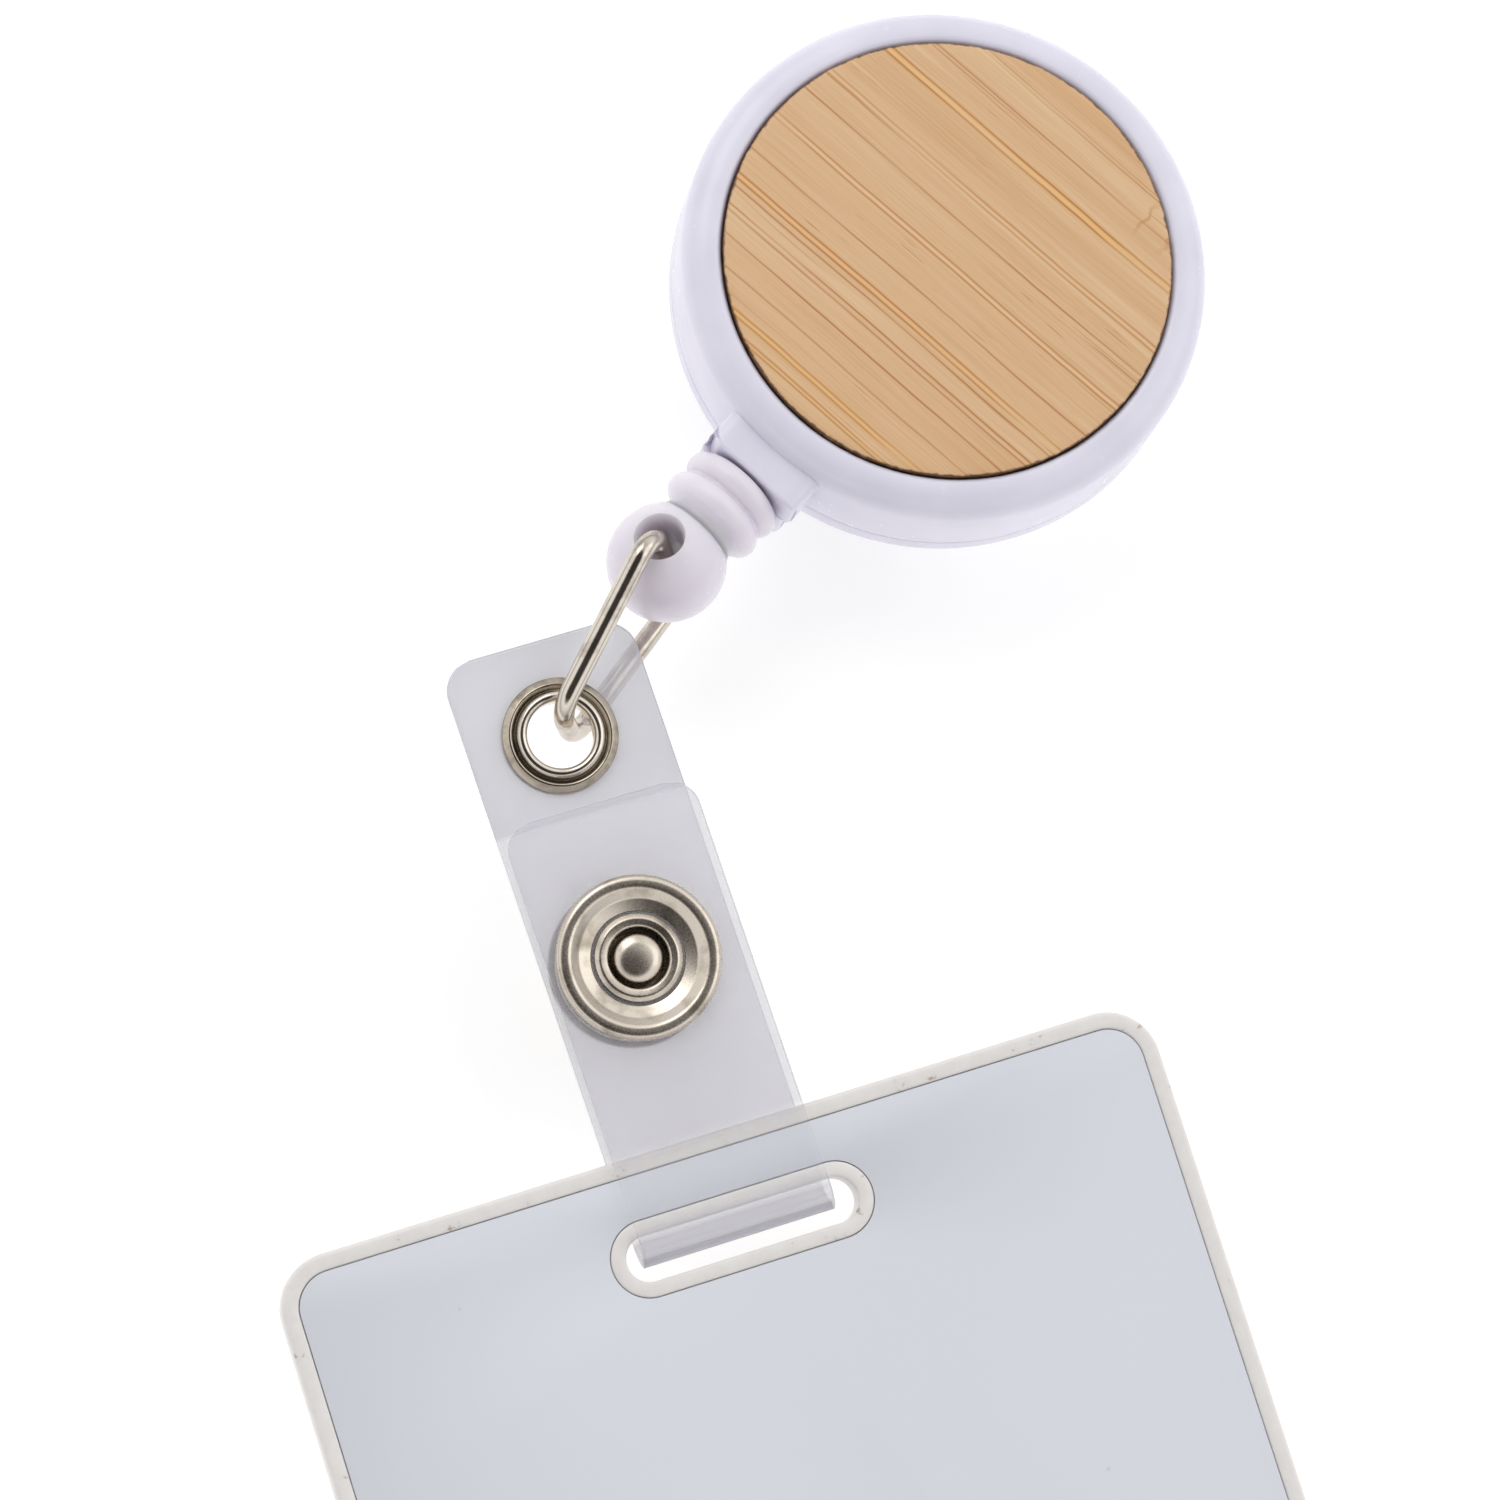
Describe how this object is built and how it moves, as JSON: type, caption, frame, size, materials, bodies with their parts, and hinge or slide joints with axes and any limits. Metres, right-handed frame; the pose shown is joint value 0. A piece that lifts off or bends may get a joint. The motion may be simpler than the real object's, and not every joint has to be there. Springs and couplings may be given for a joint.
{
  "type": "retractable badge reel",
  "caption": "Round spring-wound badge reel with a bamboo inlay, belt clip, wire link and clear snap strap holding a blank badge card.",
  "frame": {"origin": "on the case axis, at the resting face of the belt clip, which is the table", "axes": "+Z out of the bamboo face along the case axis; -Y along the strap and the card; +X to the right of the card seen from the front"},
  "size_m": [0.0727, 0.1475, 0.0128],
  "materials": {
    "case_plastic": "polished white moulding",
    "bamboo": "laser-cut bamboo veneer, satin",
    "adhesive": "foam tape",
    "acetal": "natural acetal",
    "spring_steel": "blued spring strip",
    "clip_steel": "nickel-plated spring steel",
    "nickel": "bright nickel plate",
    "nylon_cord": "braided nylon",
    "clear_vinyl": "frosted clear vinyl",
    "card_plastic": "cream moulding, satin",
    "card_panel": "blank printed sheet"
  },
  "bodies": {
    "case": {"front_casing": "case_plastic", "rear_casing": "case_plastic", "bamboo_disc": "bamboo", "disc_adhesive": "adhesive", "belt_clip_plate": "clip_steel", "clip_rivet": "clip_steel", "cord_feed": "nylon_cord"},
    "spool": {"spool": "acetal", "spool_cover": "acetal", "mainspring": "spring_steel", "cord_winding": "nylon_cord"},
    "clip_tongue": {"belt_clip_tongue": "clip_steel"},
    "cord_end": {"cord_end_fitting": "case_plastic", "cord_lead": "nylon_cord", "cord_knot": "nylon_cord"},
    "link": {"wire_link": "nickel"},
    "strap": {"strap_rear_leaf": "clear_vinyl", "eyelet_barrel": "nickel", "eyelet_washer": "nickel", "snap_stud": "nickel", "snap_back_ring": "nickel"},
    "flap": {"strap_front_flap": "clear_vinyl", "snap_ring": "nickel", "snap_socket": "nickel"},
    "card": {"card_tray": "card_plastic", "card_face": "card_panel"}
  },
  "joints": [
    {"name": "cord_pull", "type": "slide", "parent": "case", "child": "cord_end", "axis": [-0.8686, -0.4955, 0], "range_m": [0, 0.75], "stiffness_N_per_m": 0.5, "springref_m": -1.5},
    {"name": "spool_spin", "type": "hinge", "parent": "case", "child": "spool", "pos_m": [0, 0, 0.0076], "axis": [0, 0, 1], "range_deg": [-4000, 0]},
    {"name": "clip_open", "type": "hinge", "parent": "case", "child": "clip_tongue", "pos_m": [0.01086, 0.00619, 0], "axis": [0.4955, -0.8686, 0], "range_deg": [0, 12], "stiffness_Nm_per_rad": 0.25, "springref_deg": -2.86},
    {"name": "link_swing", "type": "hinge", "parent": "cord_end", "child": "link", "pos_m": [-0.02145, -0.01224, 0.0081], "axis": [-0.2115, 0.2394, 0.9476], "range_deg": [-60, 30]},
    {"name": "strap_swing", "type": "hinge", "parent": "link", "child": "strap", "pos_m": [-0.03028, -0.02003, 0.0081], "axis": [0, -0.0761, 0.9971], "range_deg": [-60, 30]},
    {"name": "flap_open", "type": "hinge", "parent": "strap", "child": "flap", "pos_m": [-0.03089, -0.05046, 0.00868], "axis": [1, 0, 0], "range_deg": [0, 150]},
    {"name": "card_swing", "type": "hinge", "parent": "strap", "child": "card", "pos_m": [-0.02969, -0.05144, 0.00704], "axis": [0, -0.0761, 0.9971], "range_deg": [-4, 4]}
  ],
  "couplings": [
    {"joint": "spool_spin", "follows": "cord_pull", "rad_per_m": -93.023}
  ]
}
